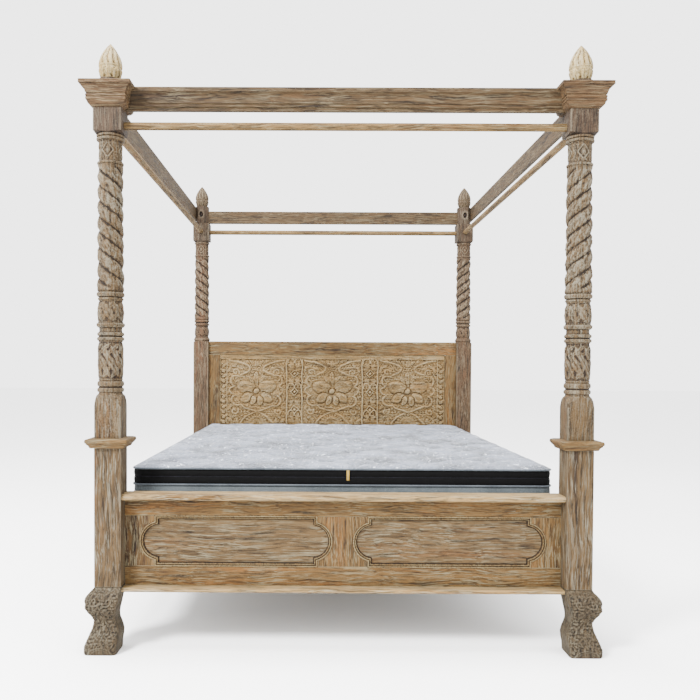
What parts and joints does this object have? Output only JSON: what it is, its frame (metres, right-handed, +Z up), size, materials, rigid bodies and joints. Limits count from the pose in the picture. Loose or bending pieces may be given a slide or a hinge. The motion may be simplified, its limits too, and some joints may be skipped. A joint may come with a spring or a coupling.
{
  "type": "four poster bed",
  "caption": "Carved lime-washed teak four poster bed with twisted posts, an open canopy frame, panelled footboard, carved headboard and a lift-off quilted mattress.",
  "frame": {"origin": "on the floor, at the centre of the bounding box", "axes": "+X to the right seen from the foot end, +Y from the footboard to the headboard, +Z up"},
  "size_m": [1.811, 2.298, 2.1153],
  "materials": {
    "teak_posts": "lime-washed carved teak, open grain, matt",
    "teak_feet": "lime-washed carved teak, greyer, matt",
    "teak_top_mouldings": "weathered dark teak mouldings, matt",
    "teak_canopy": "weathered teak rails, matt",
    "teak_poles": "pale teak poles, matt",
    "finial_pale": "pale cream-washed teak, matt",
    "finial_aged": "weathered grey-brown teak, matt",
    "teak_frame": "lime-washed teak boards, matt",
    "teak_panels": "lime-washed teak boards with horizontal grain, matt",
    "teak_ledges": "pale lime-washed teak, matt",
    "teak_carved": "carved, lime-washed teak relief, matt",
    "slat_wood": "plain planed timber",
    "mattress_quilt": "quilted knitted fabric, matt",
    "mattress_gusset": "black woven border fabric",
    "mattress_border": "grey woven border fabric",
    "bolt_metal": "dark iron bolt heads"
  },
  "bodies": {
    "bedstead": {"upper_post_front_left": "teak_posts", "upper_post_front_right": "teak_posts", "lower_post_front_left": "teak_posts", "lower_post_front_right": "teak_posts", "rear_post_left": "teak_posts", "rear_post_right": "teak_posts", "foot_front_left": "teak_feet", "foot_front_right": "teak_feet", "foot_rear_left": "teak_feet", "foot_rear_right": "teak_feet", "capital_front_left": "teak_top_mouldings", "capital_front_right": "teak_top_mouldings", "collar_front_left": "teak_posts", "collar_front_right": "teak_posts", "canopy_rail_front": "teak_canopy", "canopy_rail_rear": "teak_canopy", "canopy_rail_left": "teak_canopy", "canopy_rail_right": "teak_canopy", "curtain_pole_front": "teak_poles", "curtain_pole_rear": "teak_poles", "curtain_pole_left": "teak_poles", "curtain_pole_right": "teak_poles", "footboard_top_rail": "teak_frame", "footboard_bottom_rail": "teak_frame", "footboard_centre_stile": "teak_frame", "footboard_stile_left": "teak_frame", "footboard_stile_right": "teak_frame", "headboard_top_rail": "teak_frame", "headboard_bottom_rail": "teak_frame", "head_end_rail": "teak_frame", "headboard_stile_left": "teak_frame", "headboard_stile_right": "teak_frame", "side_rail_left": "teak_frame", "side_rail_right": "teak_frame", "footboard_panel_left": "teak_panels", "footboard_panel_right": "teak_panels", "footboard_cap": "teak_ledges", "footboard_base_moulding": "teak_ledges", "headboard_panel": "teak_carved", "centre_beam": "slat_wood", "centre_leg": "slat_wood", "slat_cleat_left": "slat_wood", "slat_cleat_right": "slat_wood", "slat_1": "slat_wood", "slat_2": "slat_wood", "slat_3": "slat_wood", "slat_4": "slat_wood", "slat_5": "slat_wood", "slat_6": "slat_wood", "slat_7": "slat_wood", "slat_8": "slat_wood", "slat_9": "slat_wood"},
    "mattress": {"mattress_base": "mattress_border", "mattress_gusset": "mattress_gusset", "mattress_top": "mattress_quilt"},
    "finial_lift_front_left": {"finial_front_left": "finial_pale"},
    "finial_lift_front_right": {"finial_front_right": "finial_pale"},
    "finial_lift_rear_left": {"finial_rear_left": "finial_aged"},
    "finial_lift_rear_right": {"finial_rear_right": "finial_aged"}
  },
  "joints": [
    {"name": "mattress_lift", "type": "slide", "parent": "bedstead", "child": "mattress", "axis": [0, 0, 1], "range_m": [0, 0.3]},
    {"name": "finial_front_left_lift", "type": "slide", "parent": "bedstead", "child": "finial_lift_front_left", "axis": [0, 0, 1], "range_m": [0, 0.08]},
    {"name": "finial_front_right_lift", "type": "slide", "parent": "bedstead", "child": "finial_lift_front_right", "axis": [0, 0, 1], "range_m": [0, 0.08]},
    {"name": "finial_rear_left_lift", "type": "slide", "parent": "bedstead", "child": "finial_lift_rear_left", "axis": [0, 0, 1], "range_m": [0, 0.08]},
    {"name": "finial_rear_right_lift", "type": "slide", "parent": "bedstead", "child": "finial_lift_rear_right", "axis": [0, 0, 1], "range_m": [0, 0.08]}
  ]
}
